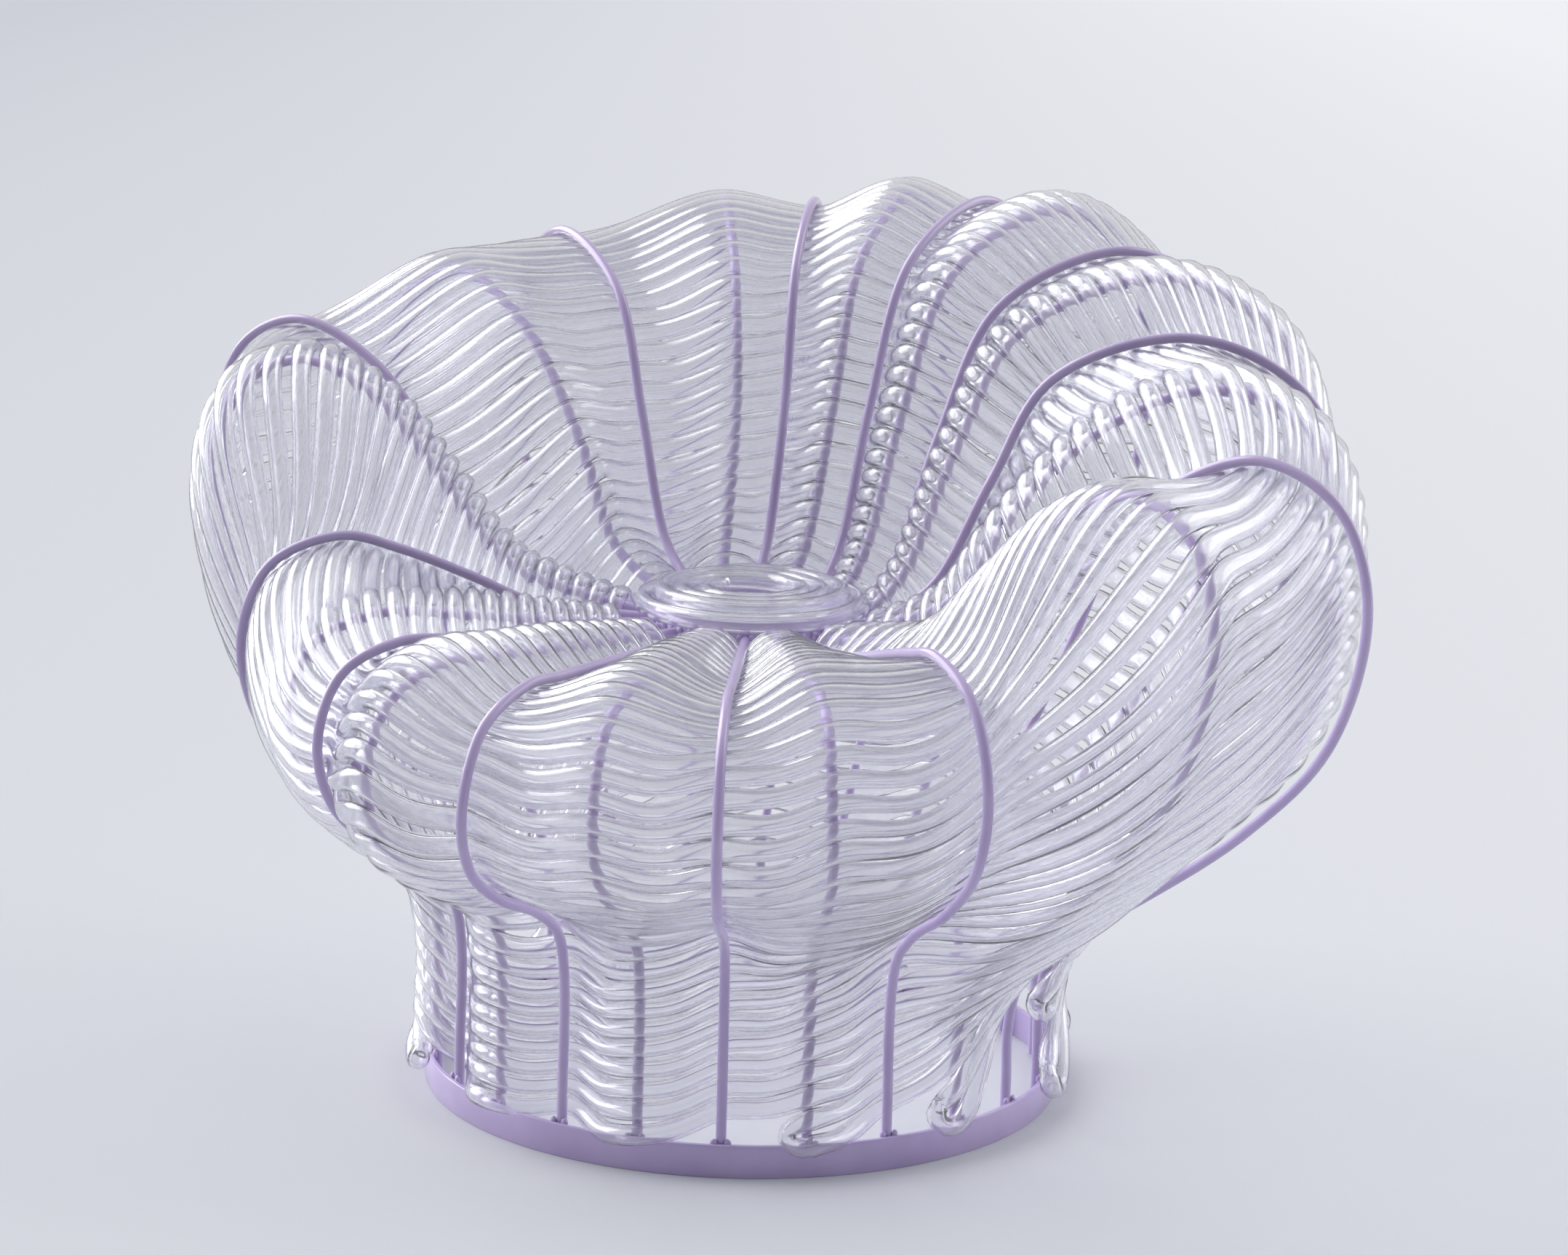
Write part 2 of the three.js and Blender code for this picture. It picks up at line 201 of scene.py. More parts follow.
def place_at(angle, radius, height):
    return np.array([radius * math.sin(angle), -radius * math.cos(angle), height])


def smooth_through(points, steps):
    points = np.array(points, float)
    points = np.vstack([2 * points[0] - points[1], points, 2 * points[-1] - points[-2]])
    curve = []
    for before, start, end, after in zip(points, points[1:], points[2:], points[3:]):
        d0, d1, d2 = (np.linalg.norm(b - a) ** 0.5 for a, b in ((before, start), (start, end), (end, after)))
        out = ((start - before) / d0 - (end - before) / (d0 + d1) + (end - start) / d1) * d1
        into = ((end - start) / d1 - (after - start) / (d1 + d2) + (after - end) / d2) * d1
        t = (np.arange(steps) / steps)[:, None]
        cubic = (2 * start - 2 * end + out + into) * t**3
        curve.append(start + out * t + (3 * end - 3 * start - 2 * out - into) * t**2 + cubic)
    return np.vstack([*curve, points[-2]])


class Bar:
    def __init__(self, index):
        self.index = index
        lean = math.radians(bar_shares[index][5])
        profile = bar_profile(bar_shares[index])
        angles = [index * bay_angle + lean * share for share in lean_shares]
        places = [place_at(angle, *point) for angle, point in zip(angles, profile)]
        self.line = smooth_through(places, steps_per_span)
        run_on = np.vstack([self.line, self.line[-1] - [0, 0, tail_length]])
        lengths = np.concatenate([[0], np.cumsum(np.linalg.norm(np.diff(run_on, axis=0), axis=1))])
        self.run_on, self.lengths = run_on, lengths
        self.hem = lengths[(len(profile) - 2) * steps_per_span]

    def at(self, length):
        return np.array([np.interp(length, self.lengths, self.run_on[:, axis]) for axis in range(3)])

    def heading(self, length):
        ahead = self.at(length + look_ahead) - self.at(length - look_ahead)
        return ahead / np.linalg.norm(ahead)

    def outwards(self, length):
        angle = self.index * bay_angle
        normal = np.cross(self.heading(length), [math.cos(angle), math.sin(angle), 0])
        return normal / np.linalg.norm(normal)


bars = [Bar(index) for index in range(bar_count)]
hems = np.array([bar.hem for bar in bars])
print("Bars are", hems.min().round(), "to", hems.max().round(), "mm long to the hem")

# %% [markdown]
# The hose is laid in rows from the seat down to the hem. Neighbouring rows lie side by side, so they are one
# hose width apart, measured square to the row. Where a row runs steeply along the bars, as beside the arms,
# the same hose takes up more of each bar. A drawn hose also pulls straight between its neighbours, inside one
# bar and outside the next. Each new row is therefore one step on from the last, then relaxed a few times.

# %% Rows of the weave
row_pitch = 22.3
first_row = 12
steepest_share = 0.45
straighten_share = 0.3
tightest_share, loosest_share = 0.78, 1.25
weave_depth = rod_radius + 8.5
relax_rounds, spare_rows = 8, 2


def unit(vectors):
    return vectors / np.linalg.norm(vectors, axis=-1, keepdims=True)


def blend_neighbours(values):
    return 0.5 * values + 0.25 * np.roll(values, 1) + 0.25 * np.roll(values, -1)


def hose_place(bar, length):
    side = -1 if bar.index % 2 == 0 else 1
    return bar.at(length) + bar.outwards(length) * side * weave_depth


def next_row(row):
    places = np.array([bar.at(length) for bar, length in zip(bars, row)])
    headings = np.array([bar.heading(length) for bar, length in zip(bars, row)])
    sideways = unit(np.roll(places, -1, 0) - np.roll(places, 1, 0))
    square = np.linalg.norm(np.cross(headings, sideways), axis=1)
    plain = blend_neighbours(row_pitch / np.maximum(square, steepest_share))
    step = plain
    for _ in range(relax_rounds):
        places = np.array([hose_place(bar, length) for bar, length in zip(bars, row + step)])
        headings = np.array([bar.heading(length) for bar, length in zip(bars, row + step)])
        off_line = (np.roll(places, -1, 0) + np.roll(places, 1, 0)) / 2 - places
        step = step + straighten_share * np.sum(off_line * headings, axis=1)
        step = np.clip(step, plain * tightest_share, plain * loosest_share)
    return row + step


rows = [np.full(bar_count, float(first_row))]
while (rows[-1] < hems).any():
    rows.append(next_row(rows[-1]))
for _ in range(spare_rows):
    rows.append(next_row(rows[-1]))
rows = np.array(rows)
turn_shares = np.arange(bar_count) / bar_count
wound = rows[:-1] + np.diff(rows, axis=0) * turn_shares
least_step = np.diff(wound, axis=0).min().round(1)
print(len(wound), "rows laid out, the steps along the bars", least_step, "mm or more")

# %% [markdown]
# The weaver pushes the last rows of each bar together or apart until a whole number of them ends just above
# the floor ring. So a chosen row of each bar is brought to its wanted height, and all the rows of that bar
# are stretched by the same small share. The hose can only turn back outside a bar, every second one, and the
# last loop there hangs down over the ring. The bars in between follow their neighbours. Four small shifts
# follow: the rows of the long bars are spaced more evenly, the first rows make room for the coil, rows slip
# down a little in front of the belly where the bar is bare, and on the right arm's bar they sink lower down.

# %% Fit the last rows to the floor ring
last_rows = {
    0: 37, 1: 37, 2: 37, 3: 39, 4: 39, 5: 41, 6: 41, 7: 47, 9: 53, 11: 57,
    12: 57, 13: 57, 15: 56, 17: 52, 19: 46, 20: 38, 21: 38, 22: 36, 23: 36,
}
last_height, last_loop_height = 46, 32
last_heights = {index: last_loop_height if index % 2 else last_height for index in last_rows}
last_heights.update({20: 98, 22: 42, 23: 38, 0: 41, 1: 36, 2: 55, 4: 50, 5: 40, 6: 185})
evenness = {index: 0.3 for index in range(8, 17)}
evenness.update({3: 0.15, 4: 0.3, 5: 0.55, 6: 0.55, 7: 0.45, 17: 0.45, 18: 0.55, 19: 0.55, 20: 0.3, 21: 0.15})
hub_room, hub_room_reach = 16, 160
slips = {22: 8, 0: 15, 2: 14, 4: 8}
foot_slips, foot_share = {6: 40}, 1 / 3


def length_at_height(bar, height):
    low_half = bar.line[:, 2] < knee_low
    return float(np.interp(-height, -bar.line[low_half, 2], bar.lengths[:len(bar.line)][low_half]))


def stretch_to_hem(index):
    return length_at_height(bars[index], last_heights[index]) / wound[last_rows[index], index]


def settle(lengths, index):
    last = last_rows[index]
    even = mix(lengths[0], lengths[last], np.arange(len(lengths)) / last)
    lengths = mix(lengths, even, evenness.get(index, 0))
    from_hub = lengths - first_row
    push = hub_room * np.clip(1 - from_hub / hub_room_reach, 0, 1)
    way_down = np.clip(from_hub / from_hub[last], 0, 1)
    slip = slips.get(index, 0) * np.sin(math.pi * way_down) ** 2
    near_foot = np.clip(1 - (1 - way_down) / foot_share, 0, 1)
    return lengths + push + slip + foot_slips.get(index, 0) * near_foot**2


stretches = {index: stretch_to_hem(index) for index in last_rows}
for index in range(bar_count):
    if index not in stretches:
        beside = (index - 1, index + 1)
        stretches[index] = sum(stretches[near] for near in beside) / 2
        last_rows[index] = min(last_rows[near] for near in beside)
for index in range(bar_count):
    wound[:, index] = settle(wound[:, index] * stretches[index], index)
print("Stretch of each bar's rows:", [round(stretches[index], 3) for index in range(bar_count)])
on_bar = np.arange(len(wound))[:, None] <= np.array([last_rows[index] for index in range(bar_count)])

# %% [markdown]
# At each bar the hose passes on the inner side of one and on the outer side of the next. A crossing holds its
# place, the ways outwards and along the bar, and half the hose's width and thickness there. Soft hose
# flattens where it is pressed on a bar: its width follows the room between its neighbours, and its thickness
# follows from its unchanged girth. Beside the floor ring it stands off further, outside the strip.

# %% Crossings
hose_radius = 9.5
narrowest_half, widest_half = hose_radius - 1.2, 11.8
press_gap = 0.15
thinnest, thicker_per_mm = 1.4, 0.155


def half_thickness(half_width):
    return math.sqrt(2 * hose_radius**2 - half_width**2)


def crossing_room(row, index):
    above = wound[row, index] - wound[row - 1, index] if row else row_pitch
    below = wound[row + 1, index] - wound[row, index] if row + 1 < len(wound) else above
    bar = bars[index]
    here = bar.at(wound[row, index])
    ahead = bars[(index + 1) % bar_count].at(wound[row, (index + 1) % bar_count])
    square = np.linalg.norm(np.cross(bar.heading(wound[row, index]), unit(ahead - here)))
    return min(above, below) * square, np.linalg.norm(ahead - here)


def crossing(row, index):
    bar, length = bars[index], wound[row, index]
    room, bay = crossing_room(row, index)
    half_width = float(np.clip(room / 2 - press_gap, narrowest_half, widest_half))
    thick = min(half_thickness(half_width), thinnest + thicker_per_mm * bay)
    side = -1 if index % 2 == 0 else 1
    outwards = bar.outwards(length)
    beside_ring = side > 0 and bar.at(length)[2] < ring_height + half_width
    stand_off = ring_radius - foot_radius + touch_gap if beside_ring else rod_radius
    return {
        "place": bar.at(length) + outwards * side * (stand_off + thick),
        "outwards": outwards, "along_bar": bar.heading(length), "half_width": half_width,
        "half_thickness": thick, "room": room, "index": index,
    }


# %% [markdown]
# One long spiral of hose runs round and round from the hub. Lower down the short front bars are full, so the
# hose turns back at the foot of a bar in a tight loop and runs the other way, row by row, until the long bars
# at the back are full too. It can only turn outside a bar, so it turns at every second bar. Round the tips of
# the arms the hose is drawn straighter than the bars, so that it stands a little clear of them.

# %% Path of the hose over the bars
shortest_run = 5
drawn_share, most_drawn = 0.16, 15


def next_crossing(row, index, way):
    index += way
    return row + (index == bar_count), index % bar_count


def can_go_on(row, index, way):
    for _ in range(2):
        row, index = next_crossing(row, index, way)
        if row + 1 >= len(wound) or not on_bar[row, index]:
            return False
    return bool(on_bar[row + 1, index]) or can_go_on(row, index, way)


def weave_path():
    row, index, way, run = 0, 0, 1, 0
    path = []
    while True:
        path.append(crossing(row, index))
        run += 1
        outside = index % 2 == 1
        if outside and not can_go_on(row, index, way):
            if run < shortest_run or row + 1 == len(wound) or not on_bar[row + 1, index]:
                return path
            path[-1]["turn"] = way
            row, way, run = row + 1, -way, 1
            path.append(crossing(row, index))
        row, index = next_crossing(row, index, way)


def draw_straight(path):
    before, here, after = path[:-2], path[1:-1], path[2:]
    shifts = []
    for a, b, c in zip(before, here, after):
        side = -1 if b["index"] % 2 == 0 else 1
        lift = np.dot((a["place"] + c["place"]) / 2 - b["place"], b["outwards"]) * side
        drawn = min(max(lift, 0) * drawn_share, most_drawn)
        shifts.append(b["outwards"] * side * (0 if "turn" in a or "turn" in b else drawn))
    for crossed, shift in zip(here, shifts):
        crossed["place"] = crossed["place"] + shift


path = weave_path()
draw_straight(path)
turns = [here["index"] + 1 for here in path if "turn" in here]
print(len(path), "crossings; the hose turns back at bars", turns)

# %% [markdown]
# Between two crossings the hose is a smooth cubic curve that leaves each bar square to its skin side. In mid
# bay nothing presses it, so it is nearly round again, and where a bay is wide and level it sags a little.
# Small seeded differences keep the rows from looking drawn by a machine. A turn is a loop that swings out
# past its bar, and lies more level than its row. It swings widest at the feet of three bars beside the arms.

# %% Route of one length of hose
ring_spacing = 7.0
fewest_rings, most_rings, turn_rings = 5, 24, 8
pull_share = 0.85
oval_bay, round_bay, oval_half, round_half = 105, 220, 11.6, 10.6
bay_for_sag, sag_in_bay = 80, 4.5
loop_reach, loop_pull, loop_stand_off = 22, 1.7, 3
wide_loops = {5: 42, 7: 34, 21: 26}
loop_level = 0.2
loop_half = hose_radius - 1.4
wander = 0.9
ease_power, loop_ease_power = 0.6, 0.5


def cubic_between(start, end, out, into, t):
    t = t[:, None]
    from_start = (2 * t**3 - 3 * t**2 + 1) * start + (t**3 - 2 * t**2 + t) * out
    return from_start + (3 * t**2 - 2 * t**3) * end + (t**3 - t**2) * into


def along_row(before, here, after):
    way = after["place"] - before["place"]
    return unit(way - here["outwards"] * np.dot(way, here["outwards"]))


def rings_in_bay(a, b):
    if "turn" in a:
        return 2 * turn_rings
    length = np.linalg.norm(b["place"] - a["place"])
    return int(np.clip(round(length / ring_spacing), fewest_rings, most_rings))


def free_half_width(a, b, length):
    roundness = np.clip((length - oval_bay) / (round_bay - oval_bay), 0, 1)
    return min(mix(oval_half, round_half, roundness), min(a["room"], b["room"]) / 2 - press_gap)


def bay_points(a, b, way_a, way_b):
    chord = b["place"] - a["place"]
    length = np.linalg.norm(chord)
    count = rings_in_bay(a, b)
    t = np.arange(count) / count
    pull = length * pull_share
    points = cubic_between(a["place"], b["place"], way_a * pull, way_b * pull, t)
    middle = np.sin(math.pi * t) ** 2
    level = 1 - abs(chord[2]) / length
    sag = sag_in_bay * (length / bay_for_sag) ** 2 * level * abs(a["along_bar"][2])
    across = unit(np.cross(chord, a["along_bar"]))
    offset = rng.normal(0, wander, 2)
    shift = a["along_bar"] * offset[0] + across * offset[1] - np.array([0, 0, sag])
    points = points + np.outer(middle, shift)
    free_half = free_half_width(a, b, length)
    ease = middle**ease_power
    wide = mix(mix(a["half_width"], b["half_width"], t), free_half, ease)
    thick = mix(mix(a["half_thickness"], b["half_thickness"], t), half_thickness(free_half), ease)
    return points, mix(a["along_bar"], b["along_bar"], t[:, None]), wide, thick


def turn_points(a, b, way):
    drop = b["place"] - a["place"]
    half_drop = np.linalg.norm(drop) / 2
    reach = wide_loops.get(a["index"], loop_reach)
    level_way = unit(way * np.array([1, 1, loop_level]))
    tip = (a["place"] + b["place"]) / 2 + level_way * reach + a["outwards"] * loop_stand_off
    t = np.arange(turn_rings) / turn_rings
    pull = way * reach * loop_pull
    down = unit(drop) * half_drop * loop_pull
    points = np.vstack([
        cubic_between(a["place"], tip, pull, down, t), cubic_between(tip, b["place"], down, -pull, t),
    ])
    turned = (np.arange(2 * turn_rings) / (2 * turn_rings) * math.pi)[:, None]
    ease = np.sin(turned[:, 0]) ** loop_ease_power
    wide = mix(a["half_width"], loop_half, ease)
    thick = mix(a["half_thickness"], half_thickness(loop_half), ease)
    along = np.cos(turned) * a["along_bar"] - np.sin(turned) * way
    return points, along, wide, thick


def route(crossings):
    ways = []
    for place, here in enumerate(crossings):
        before = crossings[max(place - 1, 0)]
        after = crossings[min(place + 1, len(crossings) - 1)]
        after = here if "turn" in here else after
        before = here if "turn" in before and before is not here else before
        ways.append(along_row(before, here, after))
    parts = []
    facing = 1
    for a, b, way_a, way_b in zip(crossings, crossings[1:], ways, ways[1:]):
        if "turn" in a:
            points, along, wide, thick = turn_points(a, b, way_a)
        else:
            points, along, wide, thick = bay_points(a, b, way_a, way_b)
        parts.append((points, along * facing, wide, thick))
        facing = -facing if "turn" in a else facing
    return [np.concatenate(group) for group in zip(*parts)]


# %% [markdown]
# A hose is a sheet of vinyl rolled round a bore. Blender can do the same: two flat grids, one for the outside
# and one for the bore, have their long seams welded and their ends bridged while they are still flat and
# square, so that every vertex's own coordinates say which ring and which side it belongs to. Then each vertex
# is moved to its place on the route. The flat map is kept in metres along the hose, for its streaks.

# %% Roll a flat grid into a hose
hose_sides = 12
hose_wall = 3.15
flat_map = "turn_and_metres"
grid_edge, edge_tolerance = 0.5, 0.25


def add_object(name, bm):
    mesh = bpy.data.meshes.new(name)
    bm.to_mesh(mesh)
    bm.free()
    mesh.shade_smooth()
    piece = bpy.data.objects.new(name, mesh)
    bpy.context.collection.objects.link(piece)
    return piece


def to_place(bm):
    bmesh.ops.translate(bm, verts=bm.verts[:], vec=Vector(chair_axis))
    bmesh.ops.scale(bm, verts=bm.verts[:], vec=(MM, MM, MM))


def flat_tube(bm, rings, sides, layer):
    lift = Matrix.Translation((0, 0, layer))
    made = bmesh.ops.create_grid(
        bm, x_segments=sides, y_segments=rings - 1, size=grid_edge, matrix=lift, calc_uvs=True,
    )
    seam = {"left": [], "right": []}
    for vert in made["verts"]:
        if abs(abs(vert.co.x) - grid_edge) < edge_tolerance / sides:
            seam["right" if vert.co.x > 0 else "left"].append(vert)
    for side in seam.values():
        side.sort(key=lambda vert: vert.co.y)
    bmesh.ops.weld_verts(bm, targetmap=dict(zip(seam["right"], seam["left"])))
    return [vert for vert in made["verts"] if vert.is_valid]


def end_edges(verts, sign, rings):
    nearly_end = grid_edge - edge_tolerance / rings
    edges = {edge for vert in verts if vert.co.y * sign > nearly_end for edge in vert.link_edges}
    return [edge for edge in edges if all(vert.co.y * sign > nearly_end for vert in edge.verts)]


def section_frames(points, along):
    heading = unit(np.gradient(points, axis=0))
    wide_way = unit(along - heading * np.sum(along * heading, axis=1, keepdims=True))
    return wide_way, np.cross(heading, wide_way)


def rolled_places(co, points, along, wide, thick, wall, sides):
    wide_way, thick_way = section_frames(points, along)
    ring = np.rint((co[:, 1] + grid_edge) * (len(points) - 1)).astype(int)
    angle = (co[:, 0] + grid_edge) * 2 * math.pi
    inset = np.where(co[:, 2] > 0.5, wall, 0)
    reach_wide = (wide[ring] - inset) * np.cos(angle)
    reach_thick = (thick[ring] - inset) * np.sin(angle)
    return points[ring] + wide_way[ring] * reach_wide[:, None] + thick_way[ring] * reach_thick[:, None]


def close_end(bm, edges, hollow):
    if hollow:
        cap = bmesh.ops.bridge_loops(bm, edges=edges)["faces"]
        if not all(edge.is_contiguous for edge in edges):
            bmesh.ops.reverse_faces(bm, faces=cap)
    else:
        bmesh.ops.holes_fill(bm, edges=edges, sides=0)
    for edge in edges:
        edge.smooth = False


def stretch_map(mesh, run):
    turns_and_shares = np.empty(len(mesh.loops) * 2)
    mesh.uv_layers[flat_map].data.foreach_get("uv", turns_and_shares)
    turns_and_shares[1::2] *= run
    mesh.uv_layers[flat_map].data.foreach_set("uv", turns_and_shares)
    mesh.update()


def make_tube(name, points, along, wide, thick, wall=0, sides=hose_sides):
    bm = bmesh.new()
    bm.loops.layers.uv.new(flat_map)
    rings = len(points)
    skins = [flat_tube(bm, rings, sides, layer) for layer in ((0, 1) if wall else (0,))]
    if wall:
        bore = set(skins[1])
        bmesh.ops.reverse_faces(bm, faces=[face for face in bm.faces if face.verts[0] in bore])
    ends = [[edge for skin in skins for edge in end_edges(skin, sign, rings)] for sign in (-1, 1)]
    flat = np.array([vert.co for vert in bm.verts])
    placed = rolled_places(flat, points, along, wide, thick, wall, sides)
    for vert, place in zip(bm.verts, (placed + chair_axis) * MM):
        vert.co = place
    for edges in ends:
        close_end(bm, edges, wall > 0)
    piece = add_object(name, bm)
    stretch_map(piece.data, np.linalg.norm(np.diff(points, axis=0), axis=1).sum() * MM)
    return piece


# %% [markdown]
# The whole run is far longer than a roll of hose, so it is cut into lengths that meet end to end behind a
# bare bar at the back, where the joints don't show. Each length stands for one or more bands of the packed
# model, from the hub down to the hem.

# %% Lay the hose
cut_gap = 0.5
cut_bar = 12
band_nodes = [
    ["hose_weave_round_hub"], ["hose_weave_seat"], ["hose_weave_lower_bowl"],
    [f"hose_weave_upper_bowl_{side}" for side in ("front", "right", "back", "left")],
    ["hose_weave_inner_rim"], ["hose_weave_outer_rim"], ["hose_weave_outer_shoulder"], ["hose_weave_belly"],
    [f"hose_weave_under_belly_{side}" for side in ("front", "right", "back", "left")],
    [f"hose_weave_waist_{side}" for side in ("front", "right", "back", "left")],
    ["hose_weave_skirt"],
]


def cut_places(count):
    places = [place for place, here in enumerate(path) if here["index"] == cut_bar]
    wanted = np.linspace(0, len(path), count + 1)[1:-1]
    return [0, *(min(places, key=lambda place: abs(place - aim)) for aim in wanted), len(path) - 1]


def cut_lengths(count):
    whole = route(path)
    ring_numbers = np.cumsum([0] + [rings_in_bay(a, b) for a, b in zip(path, path[1:])])
    places = cut_places(count)
    lengths = []
    for start, end in zip(places, places[1:]):
        parts = [group[ring_numbers[start]:ring_numbers[end] + 1].copy() for group in whole]
        points = parts[0]
        points[0] += unit(points[1] - points[0]) * cut_gap / 2
        points[-1] += unit(points[-2] - points[-1]) * cut_gap / 2
        lengths.append(parts)
    return lengths


hose_lengths = cut_lengths(len(band_nodes))
hose_pieces = []
total_length = 0
for number, (parts, nodes) in enumerate(zip(hose_lengths, band_nodes), start=1):
    piece = make_tube(f"hose_length_{number:02d}", *parts, wall=hose_wall)
    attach(piece, "root")
    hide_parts(*nodes)
    hose_pieces.append(piece)
    total_length += np.linalg.norm(np.diff(parts[0], axis=0), axis=1).sum()
faces = sum(len(piece.data.polygons) for piece in hose_pieces)
print(len(hose_pieces), "lengths of hose,", round(total_length * MM, 1), "m in all,", faces, "faces")

# %% [markdown]
# Over the hub ring the hose lies in a flat coil, which is the middle of the seat. It starts with a bare cut
# end that dips in at the eye, and winds outwards. Each turn is a plain circle beside the last, and steps out
# to the next in its last part. The outer turn drops over the edge of the ring and lies round its outside.

# %% Coil in the seat
coil_pitch, coil_inner, coil_turns, coil_width = 18.1, 47.4, 3.98, 17.6
coil_step_share = 0.3
coil_end_turn, coil_end_dip = 0.35, 14
coil_steps, coil_sides = 96, 16
coil_start = 0.72
ring_clearance = hose_radius + touch_gap


def make_coil():
    turns = np.arange(round(coil_turns * coil_steps) + 1) / coil_steps
    stepped = np.clip((turns % 1 - 1 + coil_step_share) / coil_step_share, 0, 1)
    level = np.floor(turns) + stepped**2 * (3 - 2 * stepped)
    radius = coil_inner + coil_pitch * level - coil_end_dip * np.maximum(0, 1 - turns / coil_end_turn) ** 2
    radius = np.minimum(radius, hub_radius + ring_clearance)
    beyond_ring = np.maximum(radius - hub_radius, 0)
    height = seat_height - hub_drop + hub_height + np.sqrt(ring_clearance**2 - beyond_ring**2)
    angles = (coil_start + turns) * 2 * math.pi
    points = np.array([place_at(angle, r, z) for angle, r, z in zip(angles, radius, height)])
    along = unit(points * [1, 1, 0])
    wide = np.full(len(points), coil_width / 2)
    thick = np.full(len(points), hose_radius)
    return make_tube("seat_coil_hose", points, along, wide, thick, wall=hose_wall, sides=coil_sides)


coil = make_coil()
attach(coil, "root")
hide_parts("seat_coil")
print("Coil:", len(coil.data.polygons), "faces")

# %% [markdown]
# The bars are round rod, bent cold on formers. Each new bar is rolled along the same line as its packed bar,
# with round sides and closed ends, and stands for that bar alone.

# %% Round bars
rod_sides = 16
bar_names = {0: "_front", 6: "_right_arm", 12: "_back", 18: "_left_arm"}
steel_pieces = []


def make_bar(bar):
    points = bar.line
    angle = bar.index * bay_angle
    along = np.array([[math.cos(angle), math.sin(angle), 0]] * len(points))
    radius = np.full(len(points), rod_radius)
    name = f"bar_{bar.index + 1:02d}{bar_names.get(bar.index, '')}"
    piece = make_tube(name, points, along, radius, radius, sides=rod_sides)
    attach(piece, "root")
    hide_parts(name.replace("bar", "rib"))
    return piece


for bar in bars:
    steel_pieces.append(make_bar(bar))
print(len(steel_pieces), "bars,", len(steel_pieces[0].data.polygons), "faces each")

# %% [markdown]
# The floor ring and the hub ring are flat strip, rolled on edge and welded shut. A strip's section is spun
# round the chair's axis and its edges are bevelled, because a mill edge is never quite sharp.

# %% Strip rings
ring_steps = 144
edge_bevel, bevel_steps = 0.8, 2
corner_angle = 1.0


def make_strip_ring(name, node, radius, thickness, bottom, height):
    bm = bmesh.new()
    middle = radius - thickness / 2
    matrix = Matrix.Translation((middle, 0, bottom + height / 2)) @ Matrix.Rotation(math.pi / 2, 4, "X")
    bmesh.ops.create_grid(bm, x_segments=1, y_segments=1, size=0.5, matrix=matrix)
    for vert in bm.verts:
        vert.co.x = middle + math.copysign(thickness / 2, vert.co.x - middle)
        vert.co.z = bottom + height * (vert.co.z > bottom + height / 2)
    bmesh.ops.delete(bm, geom=bm.faces[:], context="FACES_ONLY")
    bmesh.ops.spin(
        bm, geom=bm.verts[:] + bm.edges[:], cent=(0, 0, 0), axis=(0, 0, 1), angle=2 * math.pi,
        steps=ring_steps, use_merge=True, use_duplicate=False,
    )
    bmesh.ops.recalc_face_normals(bm, faces=bm.faces[:])
    corners = [edge for edge in bm.edges if edge.is_manifold and edge.calc_face_angle() > corner_angle]
    bmesh.ops.bevel(
        bm, geom=corners, offset=edge_bevel, segments=bevel_steps, profile=0.5, affect="EDGES", material=-1,
    )
    to_place(bm)
    piece = add_object(name, bm)
    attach(piece, "root")
    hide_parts(node)
    return piece


floor_ring = make_strip_ring("floor_ring", "base_ring", ring_radius, ring_thickness, 0, ring_height)
hub_bottom = seat_height - hub_drop
seat_ring = make_strip_ring("seat_ring", "hub_ring", hub_radius, ring_thickness, hub_bottom, hub_height)
steel_pieces += [floor_ring, seat_ring]
print("Rings:", len(floor_ring.data.polygons), "and", len(seat_ring.data.polygons), "faces")

# %% [markdown]
# The bars are tacked to both rings by small weld beads, which show under the powder coat as lumps beside each
# bar. A bead starts as a coarse ball, is pulled long along the joint and roughened by a few seeded tenths.

# %% Weld beads
bead_size = (3.4, 2.6, 4.6)
bead_rough, bead_smooth = 0.35, 0.3


def add_bead(bm, place, angle):
    turn = Matrix.Rotation(angle, 4, "Z")
    scale = Matrix.Diagonal((*bead_size, 1))
    matrix = Matrix.Translation(place) @ turn @ scale
    made = bmesh.ops.create_icosphere(bm, subdivisions=2, radius=1, matrix=matrix)
    for vert in made["verts"]:
        vert.co += Vector(rng.normal(0, bead_rough, 3))


def make_beads(name, radius, height):
    bm = bmesh.new()
    for bar in bars:
        for side in (-1, 1):
            angle = bar.index * bay_angle + side * (rod_radius + bead_size[0] / 3) / radius
            add_bead(bm, Vector(place_at(angle, radius, height)), angle)
    bmesh.ops.smooth_vert(
        bm, verts=bm.verts[:], factor=bead_smooth, use_axis_x=True, use_axis_y=True, use_axis_z=True,
    )
    to_place(bm)
    piece = add_object(name, bm)
    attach(piece, "root")
    return piece


floor_bead_radius = ring_radius - ring_thickness - bead_size[1] / 2
floor_beads = make_beads("floor_ring_welds", floor_bead_radius, ring_height)
hub_beads = make_beads("seat_ring_welds", hub_radius + bead_size[1] / 2, seat_height + bead_size[1])
steel_pieces += [floor_beads, hub_beads]
print("Weld beads:", len(bars) * 4)

# %% [markdown]
# Every colour is picked as an sRGB hex value, as a paint card gives it, and one function turns it to the
# linear values that the shader needs. One small function adds a node with its settings and links to a
# material or to the world, and another adds a ramp between two colours.

# %% Helpers for materials


def colour(hex_value):
    channels = [int(hex_value[place:place + 2], 16) / 255 for place in (0, 2, 4)]
    linear = [c / 12.92 if c <= 0.04045 else ((c + 0.055) / 1.055) ** 2.4 for c in channels]
    return (*linear, 1.0)


